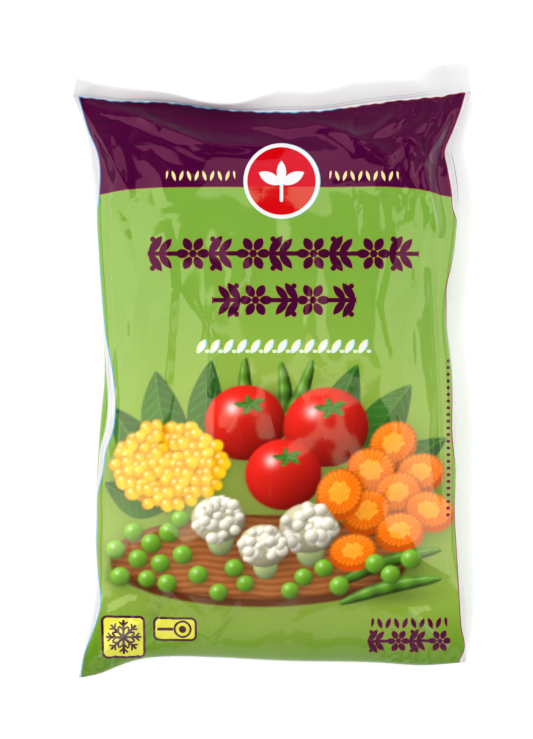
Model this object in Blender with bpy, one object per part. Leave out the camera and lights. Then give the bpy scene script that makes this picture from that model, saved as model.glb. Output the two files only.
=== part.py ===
"""A filled pillow bag of frozen vegetables, lying on its back with the printed front up.

The bag is one piece of film: a flattened tube, sealed across both ends and filled.
+X is the bag's width, +Y points to its top seal and +Z is up, in metres. The origin
is on the surface that the bag lies on, below the middle of its plan.
"""

import math

import bmesh
import bpy
import numpy as np

MM = 0.001

# Driving dimensions
THICKNESS = 38 * MM  # of the filled bag, at its crown
TOP_SEAL_WIDTH = 15 * MM
BOTTOM_SEAL_WIDTH = 12 * MM
SEAL_THICKNESS = 1.0 * MM
FOLD_GAP = 0.5 * MM  # between the folded seal and the film above it
FLAT_HALF_WIDTH = 88 * MM  # scales the width stations of the two end lines

# The outline as seen from above: (y, x) down the sides, (x, y) across the ends
LEFT_SIDE = [
    (-138.8, -87.4), (-126, -84.8), (-112, -81.2), (-99, -79.0), (-76, -79.4), (-51, -78.9),
    (-28, -77.6), (0, -75.3), (18, -75.9), (47, -77.9), (71, -79.1), (96, -80.8),
    (108, -83.4), (124, -90.0),
]
RIGHT_SIDE = [
    (-131, 87.5), (-115, 87.5), (-99, 86.4), (-83, 84.3), (-57, 82.8), (-30, 82.8),
    (2, 80.8), (22, 78.8), (43, 80.6), (67, 83.2), (81, 83.6), (93, 82.0),
    (101, 80.2), (109, 82.8), (119, 87.4), (126, 90.0),
]
BOTTOM_LINE = [
    (-88, -138.8), (-78, -136.6), (-69, -132.9), (-60, -130.1), (-47, -129.0), (-26, -129.4),
    (4, -130.9), (48, -131.8), (69, -133.0), (88, -131.6),
]
TOP_LINE = [
    (-88, 124.4), (-72, 122.2), (-44, 120.9), (-28, 118.6), (-12, 117.2), (20, 117.2),
    (39, 119.4), (54, 121.6), (78, 124.2), (88, 126.0),
]

# How far the top seal reaches past its line, as seen from above, by (x, reach)
TOP_SEAL_REACH = [
    (-88, 7.2), (-55, 4.4), (-16, 2.4), (4, 8.8), (21, 8.0), (43, 11.0), (60, 9.0), (75, 13.6), (88, 12.8),
]
TOP_SEAL_NARROWING = 2.0 * MM  # at each end of its free edge

# Heights above the surface: along the side edges by share of the length, and along the top seal by x
SIDE_HEIGHT = [
    (0.0, 1.3), (0.02, 2.4), (0.06, 5.0), (0.16, 10.0), (0.35, 13.0), (0.6, 13.5), (0.84, 12.0), (0.94, 8.5),
    (1.0, 4.5),
]
TOP_LINE_HEIGHT = [(-88, 4.5), (-66, 7.5), (-30, 9.0), (8, 11.0), (45, 9.0), (72, 6.5), (88, 4.5)]

# The filled body: the crown's place along the length, and how blunt the form is
CROWN_AT = 0.45
BOTTOM_BLUNTNESS = (3.2, 0.60)
TOP_BLUNTNESS = (2.2, 0.84)
CROSS_BLUNTNESS = (2.5, 0.62)
BASE_BLUNTNESS = (4.0, 0.75)
BASE_FLATNESS = 1.25  # over 1, so that the underside is flat where the bag rests

# Folds in the film of the front: start (x, y), end (x, y), height and half width
FOLDS = [
    ((-82, 122), (-55, 113), 2.6, 8),
    ((-55, 113), (-30, 102), 3.4, 9),
    ((-30, 102), (2, 101), 2.2, 8),
    ((-66, 121), (-36, 108), -2.6, 7),
    ((4, 117), (34, 107), 3.0, 8),
    ((34, 107), (52, 97), 2.4, 8),
    ((40, 118), (36, 104), -2.0, 7),
    ((58, 119), (44, 104), 1.8, 7),
    ((86, 124), (67, 92), 3.6, 9),
    ((84, 116), (78, 96), -4.0, 8),
    ((66, 100), (74, 66), 3.0, 8),
    ((-84, 116), (-66, 84), 2.4, 9),
    ((-85, -134), (-58, -112), 3.0, 9),
    ((-62, -128), (-48, -104), -2.6, 9),
    ((84, -128), (62, -108), 2.6, 9),
    ((-76, 6), (-74, -34), -3.0, 7),
    ((72, 36), (76, -44), -1.8, 8),
]

# How finely the film is divided
COLUMNS = 38
BODY_ROWS = 52
TOP_SEAL_ROWS = 4
BOTTOM_SEAL_ROWS = 4
ROWS = BOTTOM_SEAL_ROWS + BODY_ROWS + TOP_SEAL_ROWS

FILM_GREEN = (0.24, 0.47, 0.06, 1.0)
PACK_NAME = "bag"


def curve_through(stations, at):
    """The smooth curve through (place, value) stations in millimetres, read at a place in metres."""
    place = np.array([s[0] for s in stations], float)
    value = np.array([s[1] for s in stations], float)
    slope = np.gradient(value, place)
    at = np.clip(at / MM, place[0], place[-1])
    left = np.clip(np.searchsorted(place, at) - 1, 0, len(place) - 2)
    span = place[left + 1] - place[left]
    t = (at - place[left]) / span
    start = (2 * t**3 - 3 * t**2 + 1) * value[left] + (t**3 - 2 * t**2 + t) * span * slope[left]
    end = (3 * t**2 - 2 * t**3) * value[left + 1] + (t**3 - t**2) * span * slope[left + 1]
    return float(start + end) * MM


def share_curve(stations, share):
    """As curve_through, for stations placed by a share of the length from 0 to 1."""
    return curve_through(stations, share * MM)


def swell(distance, bluntness):
    """1 at the middle and 0 at distance 1, blunter as the first power grows."""
    outer, inner = bluntness
    return max(0.0, 1 - abs(distance) ** outer) ** inner


def plan_point(across, along):
    """The place seen from above of a point of the body: across is -1 to 1, along is 0 to 1."""
    left_y = LEFT_SIDE[0][0] + along * (LEFT_SIDE[-1][0] - LEFT_SIDE[0][0])
    right_y = RIGHT_SIDE[0][0] + along * (RIGHT_SIDE[-1][0] - RIGHT_SIDE[0][0])
    left = curve_through(LEFT_SIDE, left_y * MM)
    right = curve_through(RIGHT_SIDE, right_y * MM)
    low = curve_through(BOTTOM_LINE, across * FLAT_HALF_WIDTH)
    high = curve_through(TOP_LINE, across * FLAT_HALF_WIDTH)
    return left + (across + 1) / 2 * (right - left), low + along * (high - low)


def edge_height(across, along):
    """The height of the surface between front and back, which both meet at the side edges."""
    at_top = curve_through(TOP_LINE_HEIGHT, across * FLAT_HALF_WIDTH)
    side = share_curve(SIDE_HEIGHT, along)
    return side + (at_top - SIDE_HEIGHT[-1][1] * MM) * along**6


def crown_height(along):
    """How far the front rises over the edges, on the middle line."""
    if along < CROWN_AT:
        rise = swell((CROWN_AT - along) / CROWN_AT, BOTTOM_BLUNTNESS)
    else:
        rise = swell((along - CROWN_AT) / (1 - CROWN_AT), TOP_BLUNTNESS)
    return rise * (THICKNESS - share_curve(SIDE_HEIGHT, CROWN_AT))


def fold_relief(x, y):
    """The height that the folds add at a place: each is a ridge or valley that fades at its ends."""
    relief = 0.0
    for (x0, y0), (x1, y1), height, half_width in FOLDS:
        length = math.hypot(x1 - x0, y1 - y0)
        run_x, run_y = (x1 - x0) / length, (y1 - y0) / length
        from_x, from_y = x / MM - x0, y / MM - y0
        run = (from_x * run_x + from_y * run_y) / length
        aside = abs(from_x * run_y - from_y * run_x) / half_width
        if aside < 1 and -0.2 < run < 1.2:
            fade = max(0.0, 1 - abs((run - 0.5) / 0.7) ** 3)
            relief += height * MM * (1 - aside) ** 2 * fade
    return relief


def rise_of_front(across, along, x, y):
    """How far the front stands over the edge surface."""
    at_rim = swell(across, CROSS_BLUNTNESS)
    body = crown_height(along) * at_rim
    calm = min(1.0, 8 * (1 - abs(across))) * min(1.0, 14 * along) * min(1.0, 14 * (1 - along))
    return max(SEAL_THICKNESS / 2, body + fold_relief(x, y) * calm)


def height_of_back(across, along, edge, past_fold):
    """The underside: flat where it rests, and lying over the folded bottom seal."""
    base = swell(across, BASE_BLUNTNESS) * swell(2 * along - 1, BASE_BLUNTNESS) * BASE_FLATNESS
    over_seal = SEAL_THICKNESS + FOLD_GAP
    ramp = 1 - (past_fold - BOTTOM_SEAL_WIDTH - 2 * MM) / (6 * MM)
    resting = over_seal * min(1.0, max(0.0, ramp))
    return min(edge, max(edge * (1 - base), resting, 0.0))


def body_point(across, along, side, rim):
    """A point of the filled body on its front (side 1) or back (side -1)."""
    x, y = plan_point(across, along)
    edge = edge_height(across, along)
    if rim:
        return x, y, edge
    if side > 0:
        return x, y, edge + rise_of_front(across, along, x, y)
    past_fold = y - plan_point(across, 0.0)[1]
    tuck = max(0.0, 1.2 * MM - past_fold)  # the inner film turns back inside the fold
    under = min(height_of_back(across, along, edge, past_fold), edge - SEAL_THICKNESS / 2 * min(1.0, 20 * along))
    return x, y + tuck, under


def top_seal_point(across, out, side, rim):
    """A point of the top seal, which stands up in waves: out is 0 at its line and 1 at its free edge."""
    x, y = plan_point(across, 1.0)
    reach = curve_through(TOP_SEAL_REACH, across * FLAT_HALF_WIDTH)
    rise = math.sqrt(TOP_SEAL_WIDTH**2 - reach**2)
    half = 0.0 if rim else side * SEAL_THICKNESS / 2
    lean_y, lean_z = reach / TOP_SEAL_WIDTH, rise / TOP_SEAL_WIDTH
    return (
        x - out * TOP_SEAL_NARROWING * across,
        y + out * reach - half * lean_z * min(1.0, 3 * out),
        edge_height(across, 1.0) + out * rise + half * (lean_y if out > 0 else 1.0),
    )


def bottom_seal_point(across, out, side, rim):
    """A point of the bottom seal, folded flat under the body: out is 0 at the fold, 1 at its free edge."""
    x, y = plan_point(across, 0.0)
    middle = SEAL_THICKNESS / 2
    half = 0.0 if rim else middle
    return x * (1 - 0.03 * out), y + 1.2 * MM + out * (BOTTOM_SEAL_WIDTH - 1.2 * MM), middle - side * half


def film_point(across, row, side):
    """The point of the film at a row, counted from the bottom seal's free edge."""
    rim = abs(across) > 1 - 1e-6 or row in (0, ROWS)
    if row < BOTTOM_SEAL_ROWS:
        return bottom_seal_point(across, (BOTTOM_SEAL_ROWS - row - 1) / (BOTTOM_SEAL_ROWS - 1), side, rim)
    if row > BOTTOM_SEAL_ROWS + BODY_ROWS:
        return top_seal_point(across, (row - BOTTOM_SEAL_ROWS - BODY_ROWS) / TOP_SEAL_ROWS, side, rim)
    step = (row - BOTTOM_SEAL_ROWS) / BODY_ROWS
    crowded = 0.5 - 0.5 * math.cos(math.pi * step)
    return body_point(across, 0.35 * crowded + 0.65 * step, side, rim)


def add_panel(mesh, side):
    """One panel of the tube: a flat grid, carried point by point to its place in the filled bag."""
    made = bmesh.ops.create_grid(mesh, x_segments=COLUMNS, y_segments=ROWS, size=1.0)
    for vertex in made["verts"]:
        column, row = vertex.co.x, round((vertex.co.y + 1) / 2 * ROWS)
        across = 0.5 * column + 0.5 * math.sin(column * math.pi / 2)
        vertex.co = film_point(across, row, side)
    if side < 0:
        faces = list({face for vertex in made["verts"] for face in vertex.link_faces})
        bmesh.ops.reverse_faces(mesh, faces=faces)


def film_material():
    """Glossy printed film, green as most of its front is."""
    material = bpy.data.materials.new("printed_film")
    material.use_nodes = True
    shader = material.node_tree.nodes["Principled BSDF"]
    shader.inputs["Base Color"].default_value = FILM_GREEN
    shader.inputs["Roughness"].default_value = 0.28
    shader.inputs["Metallic"].default_value = 0.0
    return material


def make_bag(collection):
    """Front and back panel, welded round their edges into one closed body."""
    panels = bmesh.new()
    add_panel(panels, side=1)
    add_panel(panels, side=-1)
    bmesh.ops.remove_doubles(panels, verts=panels.verts, dist=0.01 * MM)
    data = bpy.data.meshes.new(PACK_NAME)
    panels.to_mesh(data)
    panels.free()
    data.shade_smooth()
    data.materials.append(film_material())
    collection.objects.link(bpy.data.objects.new(PACK_NAME, data))


def clear_scene():
    for left_over in list(bpy.data.objects):
        bpy.data.objects.remove(left_over, do_unlink=True)


def main():
    clear_scene()
    parts = bpy.data.collections.new("frozen_vegetable_bag")
    bpy.context.scene.collection.children.link(parts)
    make_bag(parts)


main()
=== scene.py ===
"""The looks of a filled pillow bag of frozen vegetables, lying on its back with its print up.

The film is a front and a back panel. Each is a grid of points on the bag's form, given a
little more film than the form takes, and relaxed until that film has buckled. The print is
fields of colour and simple shapes, worked out on the front panel's points. Lengths are in
millimetres until a mesh is made. +X is the bag's width, +Y points to its top seal, +Z is up.
"""

import math

import bpy
import numpy as np
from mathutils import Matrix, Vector


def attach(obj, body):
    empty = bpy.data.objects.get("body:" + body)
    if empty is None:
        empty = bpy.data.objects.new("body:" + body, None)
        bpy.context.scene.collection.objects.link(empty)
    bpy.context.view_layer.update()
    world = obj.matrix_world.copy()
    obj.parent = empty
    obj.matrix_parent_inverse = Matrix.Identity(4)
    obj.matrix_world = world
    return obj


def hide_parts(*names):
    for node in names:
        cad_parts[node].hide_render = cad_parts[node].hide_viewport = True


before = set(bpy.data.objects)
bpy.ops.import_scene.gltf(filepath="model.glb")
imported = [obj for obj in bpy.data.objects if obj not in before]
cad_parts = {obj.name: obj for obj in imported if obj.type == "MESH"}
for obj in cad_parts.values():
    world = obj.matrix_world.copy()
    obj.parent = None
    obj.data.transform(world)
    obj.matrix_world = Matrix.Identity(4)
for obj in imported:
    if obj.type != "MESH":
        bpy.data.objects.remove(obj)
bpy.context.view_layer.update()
MM = 0.001
TINY = 1e-6

# The form of the bag, as in the solid that the film replaces
THICKNESS = 38.0
FLAT_HALF_WIDTH = 88.0
TOP_SEAL_WIDTH = 15.0
BOTTOM_SEAL_WIDTH = 12.0
TOP_SEAL_NARROWING = 2.0
SEAL_HEIGHT = 0.5  # of the middle of the folded bottom seal
SEAL_INSET, SEAL_TAPER = 0.6, 0.03  # where the film turns in under itself, and to the free edge
LEFT_SIDE = [
    (-138.8, -87.4), (-126, -84.8), (-112, -81.2), (-99, -79.0), (-76, -79.4), (-51, -78.9),
    (-28, -77.6), (0, -75.3), (18, -75.9), (47, -77.9), (71, -79.1), (96, -80.8),
    (108, -83.4), (124, -90.0),
]
RIGHT_SIDE = [
    (-131, 87.5), (-115, 87.5), (-99, 86.4), (-83, 84.3), (-57, 82.8), (-30, 82.8),
    (2, 80.8), (22, 78.8), (43, 80.6), (67, 83.2), (81, 83.6), (93, 82.0),
    (101, 80.2), (109, 82.8), (119, 87.4), (126, 90.0),
]
BOTTOM_LINE = [
    (-88, -138.8), (-78, -136.6), (-69, -132.9), (-60, -130.1), (-47, -129.0), (-26, -129.4),
    (4, -130.9), (48, -131.8), (69, -133.0), (88, -131.6),
]
TOP_LINE = [
    (-88, 124.4), (-72, 122.2), (-44, 120.9), (-28, 118.6), (-12, 117.2), (20, 117.2),
    (39, 119.4), (54, 121.6), (78, 124.2), (88, 126.0),
]
TOP_SEAL_REACH = [
    (-88, 7.2), (-55, 4.4), (-16, 2.4), (4, 8.8), (21, 8.0), (43, 11.0), (60, 9.0), (75, 13.6), (88, 12.8),
]
SIDE_HEIGHT = [
    (0.0, 1.3), (0.02, 2.4), (0.06, 5.0), (0.16, 10.0), (0.35, 13.0), (0.6, 13.5), (0.84, 12.0), (0.94, 8.5),
    (1.0, 4.5),
]
TOP_LINE_HEIGHT = [(-88, 4.5), (-66, 7.5), (-30, 9.0), (8, 11.0), (45, 9.0), (72, 6.5), (88, 4.5)]
CROWN_AT = 0.45
BOTTOM_BLUNTNESS = (3.2, 0.60)
TOP_BLUNTNESS = (2.2, 0.84)
CROSS_BLUNTNESS = (2.5, 0.62)
BASE_BLUNTNESS = (4.0, 0.75)
BASE_FLATNESS = 1.25
LEAST_RISE = 0.25  # of the front over the edges, and of the edges over the back
LUMP_OVER_SEAL = 1.2  # of the back, where it lies over the folded seal
CALM_ACROSS, CALM_ALONG = 1 / 8, 1 / 14  # how near to the edges the folds fade out
FOLDS = [
    ((-82, 122), (-55, 113), 2.6, 8),
    ((-55, 113), (-30, 102), 3.4, 9),
    ((-30, 102), (2, 101), 2.2, 8),
    ((-66, 121), (-36, 108), -2.6, 7),
    ((4, 117), (34, 107), 3.0, 8),
    ((34, 107), (52, 97), 2.4, 8),
    ((40, 118), (36, 104), -2.0, 7),
    ((58, 119), (44, 104), 1.8, 7),
    ((86, 124), (67, 92), 3.6, 9),
    ((84, 116), (78, 96), -4.0, 8),
    ((66, 100), (74, 66), 3.0, 8),
    ((-84, 116), (-66, 84), 2.4, 9),
    ((-85, -134), (-58, -112), 3.0, 9),
    ((-62, -128), (-48, -104), -2.6, 9),
    ((84, -128), (62, -108), 2.6, 9),
    ((-76, 6), (-74, -34), -3.0, 7),
    ((72, 36), (76, -44), -1.8, 8),
]

# Creases of the film over the form: the line, height and reach of each, to both sides or to left and right
CREASES = [
    (((-84, 121.5), (-68, 118), (-54, 112), (-40, 106.5), (-24, 102), (-8, 100.5)), 1.5, 5.0),
    (((-80, 122), (-66, 120.5), (-52, 119.5), (-38, 118.5), (-22, 117)), -1.1, 2.2),
    (((-72, 119), (-62, 117.0), (-54, 117.5), (-44, 113)), 0.9, 2.6),
    (((-61, 119), (-57, 113), (-50, 108)), 0.8, 2.8),
    (((-63, 107), (-48, 101), (-30, 93)), 1.0, 6.0),
    (((-72, 101), (-70, 90), (-71, 78)), 0.8, 4.5),
    (((-58, 97), (-50, 88), (-47, 74)), 0.6, 5.0),
    (((-14, 114), (6, 108.5), (24, 111)), 0.7, 4.5),
    (((22, 112), (35.5, 104.5), (50, 109), (62, 116)), 1.0, 4.5),
    (((33, 117), (35.5, 104.5), (39, 96)), 0.9, 4.0),
    (((84, 122), (68, 111), (57, 100), (50, 94)), 1.3, 5.0),
    (((85, 120), (75, 108), (70, 95), (70, 84)), 1.4, 4.5),
    (((86, 118), (80, 106), (76.5, 97), (78, 88)), -1.2, 4.0),
    (((62, 106), (65, 95), (66, 82), (63, 66)), 0.9, 4.0),
    (((-80, -134), (-66, -120), (-52, -112)), 0.9, 4.5),
    (((-64, -127), (-52, -116), (-46, -100)), 0.8, 4.5),
    (((82, -130), (74, -118), (68, -104)), 0.8, 4.5),
    (((66, 30), (62, 16), (64, -2)), 0.7, 5.0),
    (((-66, 62), (-60, 40), (-62, 12)), 0.5, 7.0),
    (((-29, -12), (-27.5, 12), (-30, 21), (-43, 38)), 1.1, (15.0, 2.5)),
    (((-45, 70), (-41, 42), (-42, 20), (-44, -6)), -0.85, (11.0, 4.0)),
    (((10, 66), (16, 44), (20, 22), (27, -2)), 0.35, 6.0),
    (((57, 44), (60, 22), (58, 2), (63, -34)), 0.45, 6.0),
    (((-66, -92), (-52, -101), (-38, -117)), 0.8, (7.0, 3.0)),
    (((-50, -84), (-44, -100), (-30, -112)), 0.7, (3.0, 8.0)),
    (((-79, -112), (-64, -104), (-50, -103)), 0.8, 4.0),
    (((-30, -122), (-18, -108), (-14, -92)), 0.6, (8.0, 3.0)),
    (((6, -122), (14, -110), (30, -104)), 0.5, (3.0, 9.0)),
    (((38, -102), (58, -110), (80, -106)), 0.6, (3.0, 7.0)),
    (((80, -92), (66, -84), (60, -66)), 0.6, (3.0, 7.0)),
    (((-77, 44), (-68, 40), (-62, 28), (-64, 8)), 0.7, (7.0, 3.0)),
    (((-80, 82), (-68, 66), (-64, 48)), 0.9, (4.0, 8.0)),
    (((-70, 60), (-56, 56), (-47, 64)), 0.6, 5.0),
    (((34, 84), (38, 66), (30, 46)), 0.8, (3.0, 9.0)),
    (((14, 60), (20, 44), (16, 20), (22, 2)), 0.7, (7.0, 3.0)),
    (((52, 78), (56, 56), (50, 30), (54, 6)), 0.7, (9.0, 3.0)),
    (((70, 70), (66, 50), (70, 24)), 0.6, (3.0, 6.0)),
    (((74, -2), (70, -30), (73, -58)), 0.6, (3.0, 6.0)),
    (((-18, 62), (-12, 44), (-16, 26)), 0.6, (3.0, 8.0)),
    (((-77, 8), (-72, -10), (-75, -30)), 0.9, 3.0),
]
# Dents and lumps of what is inside: (length of the waves across and along, height, seed)
LUMPS = ((34.0, 80.0, 0.42, 3), (15.0, 24.0, 0.11, 5), (60.0, 50.0, 0.35, 9))
LUMP_WAVES = 16

# The tube of film, flat
FILM_HALF_WIDTH = 90.0
FILM_LENGTH = 265.0

# Parts of the panels, by the places across or along where each begins and where it is reached in full
SIDES, HEADSPACE, FOOT = (0.55, 0.90), (0.80, 0.90), (0.14, 0.04)
FILLED_ACROSS, FILLED_ALONG, CREASED = (0.97, 0.85), (0.86, 0.76), (0.80, 0.85)
FREE_OF_FOOT, FREE_OF_TOP, FREE_BLUNTNESS = (0.0, 0.06), (1.0, 0.97), (6.0, 1.0)
FLATTER_TOP, FLATTENING = (0.78, 0.86), 0.6
CORNER = (-58, -82)  # the left corner of the top seal, by x, where less light is painted onto the seal

# The film has a little more to it than the form takes, and buckles where it has to spare
EVEN_COLUMNS, EVEN_ROWS, EVEN_PASSES = 60, 88, 3
RELAX_LEVELS = ((16, 24, 200), (32, 48, 100), (64, 96, 60), (128, 192, 30))  # columns, rows and passes
SIDE_SLACK, HEADSPACE_SLACK, FOOT_SLACK = (0.032, 0.0), (0.004, 0.008), (0.02, 0.01)  # in width and length
UNEVENNESS, UNEVEN_RANGE, UNEVEN_PLACES = 0.6, (0.1, 2.2), (10, 7)  # of the film to spare, over the bag
DIAGONAL_STIFFNESS, BEND_STIFFNESS = 0.5, 0.15
FILLED_HOLD, SLACK_HOLD = 0.06, 0.006  # how firmly the contents, and the air above them, back the film
CREASE_HOLD, SIDE_HOLD = 0.03, 0.3
FIRST_RIPPLE = 0.5  # the uneven start that buckling grows from
RUNNING_MEANS = 6  # passes, for the first ripple and for what counts as a point's surroundings
SEED = 4

# The meshes: points are closer where the picture is
PICTURE_REACH = 80.0  # to either side, across the flat film
PICTURE_ROWS = (18.0, 142.0)  # from the bottom fold, along the flat film
CLOSE_POINTS, SPREAD_POINTS, SIDE_POINTS = 0.68, 0.80, 1.2
BACK_COLUMNS = 56
SEAL_ROWS = 10
FILM_GAP = 0.25  # between the middle of the seal and each panel
TONE_SLOPE, TONE_START, CORNER_TONE, TONE_POWER = 1.25, -0.15, 0.6, 1.5  # of the top seal's painted light, which is brightest where the seal stands steep and misses light, and less at its left corner
SHARP_TURN = 0.22  # that a point stands over or under its surroundings where a crease's painted shade or painted highlight shows fully


def curve_through(stations, at):
    """The smooth curve through (place, value) stations, read at an array of places."""
    place, value = np.array(stations, float).T
    slope = np.gradient(value, place)
    at = np.clip(at, place[0], place[-1])
    left = np.clip(np.searchsorted(place, at) - 1, 0, len(place) - 2)
    span = place[left + 1] - place[left]
    t = (at - place[left]) / span
    start = (2 * t**3 - 3 * t**2 + 1) * value[left] + (t**3 - 2 * t**2 + t) * span * slope[left]
    end = (3 * t**2 - 2 * t**3) * value[left + 1] + (t**3 - t**2) * span * slope[left + 1]
    return start + end


def ramp(value, start, end):
    """0 before the start, 1 past the end, and a straight slope between, in either direction."""
    return np.clip((value - start) / (end - start), 0, 1)


def swell(distance, bluntness):
    """1 at the middle and 0 at distance 1, blunter as the first power grows."""
    outer, inner = bluntness
    return np.maximum(0.0, 1 - np.abs(distance) ** outer) ** inner


def plan_point(across, along):
    """The place seen from above of a point of the body: across is -1 to 1, along is 0 to 1."""
    left = curve_through(LEFT_SIDE, LEFT_SIDE[0][0] + along * (LEFT_SIDE[-1][0] - LEFT_SIDE[0][0]))
    right = curve_through(RIGHT_SIDE, RIGHT_SIDE[0][0] + along * (RIGHT_SIDE[-1][0] - RIGHT_SIDE[0][0]))
    low = curve_through(BOTTOM_LINE, across * FLAT_HALF_WIDTH)
    high = curve_through(TOP_LINE, across * FLAT_HALF_WIDTH)
    return left + (across + 1) / 2 * (right - left), low + along * (high - low)


def edge_height(across, along):
    """The height of the surface between front and back, which both meet at the side edges."""
    at_top = curve_through(TOP_LINE_HEIGHT, across * FLAT_HALF_WIDTH)
    return curve_through(SIDE_HEIGHT, along) + (at_top - SIDE_HEIGHT[-1][1]) * along**6


def crown_height(along):
    """How far the front rises over the edges, on the middle line."""
    below = swell(ramp(along, CROWN_AT, 0), BOTTOM_BLUNTNESS)
    above = swell(ramp(along, CROWN_AT, 1), TOP_BLUNTNESS)
    return np.minimum(below, above) * (THICKNESS - curve_through(SIDE_HEIGHT, CROWN_AT))


def fold_relief(x, y):
    """The height that the folds add at a place: each is a ridge or valley that fades at its ends."""
    relief = np.zeros_like(x)
    for (x0, y0), (x1, y1), height, half_width in FOLDS:
        length = math.hypot(x1 - x0, y1 - y0)
        run_x, run_y = (x1 - x0) / length, (y1 - y0) / length
        run = ((x - x0) * run_x + (y - y0) * run_y) / length
        aside = np.abs((x - x0) * run_y - (y - y0) * run_x) / half_width
        fade = np.maximum(0.0, 1 - np.abs((run - 0.5) / 0.7) ** 3)
        relief += height * np.maximum(0.0, 1 - aside) ** 2 * fade
    return relief


def at_border(across, along):
    """Where the front and the back meet."""
    return (np.abs(across) > 1 - TINY) | (along < TINY) | (along > 1 - TINY)


def front_point(across, along):
    """Points of the filled body's front."""
    x, y = plan_point(across, along)
    edge = edge_height(across, along)
    body = crown_height(along) * swell(across, CROSS_BLUNTNESS)
    calm = ramp(np.abs(across), 1, 1 - CALM_ACROSS)
    calm = calm * ramp(along, 0, CALM_ALONG) * ramp(along, 1, 1 - CALM_ALONG)
    rise = np.maximum(LEAST_RISE, body + fold_relief(x, y) * calm)
    return np.stack([x, y, edge + np.where(at_border(across, along), 0.0, rise)], -1)


def back_point(across, along):
    """Points of the filled body's back: flat where it rests, and lying over the folded bottom seal."""
    x, y = plan_point(across, along)
    edge = edge_height(across, along)
    base = swell(across, BASE_BLUNTNESS) * swell(2 * along - 1, BASE_BLUNTNESS) * BASE_FLATNESS
    past_fold = y - plan_point(across, along * 0)[1]
    over_seal = LUMP_OVER_SEAL * ramp(past_fold, BOTTOM_SEAL_WIDTH + 8, BOTTOM_SEAL_WIDTH + 2)
    under = np.minimum(np.maximum(edge * (1 - base), over_seal), edge - LEAST_RISE)
    return np.stack([x, y, np.where(at_border(across, along), edge, under)], -1)


def evened(point_of):
    """Places on a coarse grid, spread so that the film between them is equally long along each line."""
    across, along = np.meshgrid(np.linspace(-1, 1, EVEN_COLUMNS + 1), np.linspace(0, 1, EVEN_ROWS + 1))
    for _ in range(EVEN_PASSES):
        across, along = spread_along_rows(point_of, across, along)
        turned = spread_along_rows(lambda a, b: point_of(a.T, b.T).transpose(1, 0, 2), across.T, along.T)
        across, along = turned[0].T, turned[1].T
    return across, along


def spread_along_rows(point_of, across, along):
    """Moves the places in each row so that their points are equally far apart."""
    points = point_of(across, along)
    lengths = np.linalg.norm(np.diff(points, axis=1), axis=2)
    run = np.concatenate([np.zeros((len(points), 1)), np.cumsum(lengths, axis=1)], axis=1)
    even = np.linspace(0, 1, points.shape[1])
    new_across, new_along = across.copy(), along.copy()
    for row in range(len(points)):
        share = run[row] / run[row, -1]
        new_across[row] = np.interp(even, share, across[row])
        new_along[row] = np.interp(even, share, along[row])
    return new_across, new_along


def refining(coarse, places):
    """Weights that read a smooth curve through coarse + 1 even values at places from 0 to 1."""
    weights = np.zeros((len(places), coarse + 1))
    for row, place in enumerate(places):
        at = place * coarse
        k = min(int(at), coarse - 1)
        t = at - k
        near = (
            (k - 1, -0.5 * t**3 + t**2 - 0.5 * t),
            (k, 1.5 * t**3 - 2.5 * t**2 + 1),
            (k + 1, -1.5 * t**3 + 2 * t**2 + 0.5 * t),
            (k + 2, 0.5 * t**3 - 0.5 * t**2),
        )
        for column, weight in near:
            weights[row, min(max(column, 0), coarse)] += weight
    return weights


def refined(values, row_places, column_places):
    """A coarse grid of values, read smoothly at finer rows and columns."""
    down = refining(values.shape[0] - 1, row_places)
    over = refining(values.shape[1] - 1, column_places)
    return np.einsum("bc,ac...->ab...", over, np.tensordot(down, values, (1, 0)))


def grid_faces(index):
    """Quads over a grid of vertex numbers, facing up where columns run +X and rows +Y."""
    corners = (index[:-1, :-1], index[:-1, 1:], index[1:, 1:], index[1:, :-1])
    return np.stack(corners, -1).reshape(-1, 4)


def make_mesh(name, points, faces):
    data = bpy.data.meshes.new(name)
    data.vertices.add(len(points))
    data.vertices.foreach_set("co", np.ascontiguousarray(points, np.float32).ravel())
    data.loops.add(faces.size)
    data.loops.foreach_set("vertex_index", faces.ravel().astype(np.int32))
    data.polygons.add(len(faces))
    data.polygons.foreach_set("loop_start", np.arange(0, faces.size, 4, dtype=np.int32))
    data.update(calc_edges=True)
    data.validate()
    return data


def add_piece(name, data):
    piece = bpy.data.objects.new(name, data)
    bpy.context.scene.collection.objects.link(piece)
    data.shade_smooth()
    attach(piece, "root")
    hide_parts("bag")
    return piece


def tent(x, y, line, height, reaches):
    """A crease: a sharp ridge along a line through points, which fades out towards its ends."""
    line = np.array(line, float)
    to_left, to_right = np.broadcast_to(reaches, 2)
    runs = np.diff(line, axis=0)
    lengths = np.hypot(*runs.T)
    relief = np.zeros_like(x)
    for start, run, length, before in zip(line, runs, lengths, np.cumsum(lengths) - lengths):
        share = np.clip(((x - start[0]) * run[0] + (y - start[1]) * run[1]) / length**2, 0, 1)
        off = np.hypot(x - start[0] - share * run[0], y - start[1] - share * run[1])
        on_left = (y - start[1]) * run[0] > (x - start[0]) * run[1]
        way = (before + share * length) / lengths.sum()
        fall = np.maximum(0, 1 - off / np.where(on_left, to_left, to_right))
        relief = np.maximum(relief, fall * np.sin(math.pi * way) ** 0.5)
    return height * relief


def waves(x, y, across, along, seed):
    """A smooth random field: many waves of about one length, each in its own direction."""
    dice = np.random.default_rng(seed)
    field = np.zeros_like(x)
    for way, phase, size in dice.uniform((0, 0, 0.7), (math.pi, 2 * math.pi, 1.4), (LUMP_WAVES, 3)):
        run = x * math.cos(way) / across + y * math.sin(way) / along
        field += np.cos(2 * math.pi * size * run + phase)
    return field / math.sqrt(LUMP_WAVES / 2)


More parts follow.
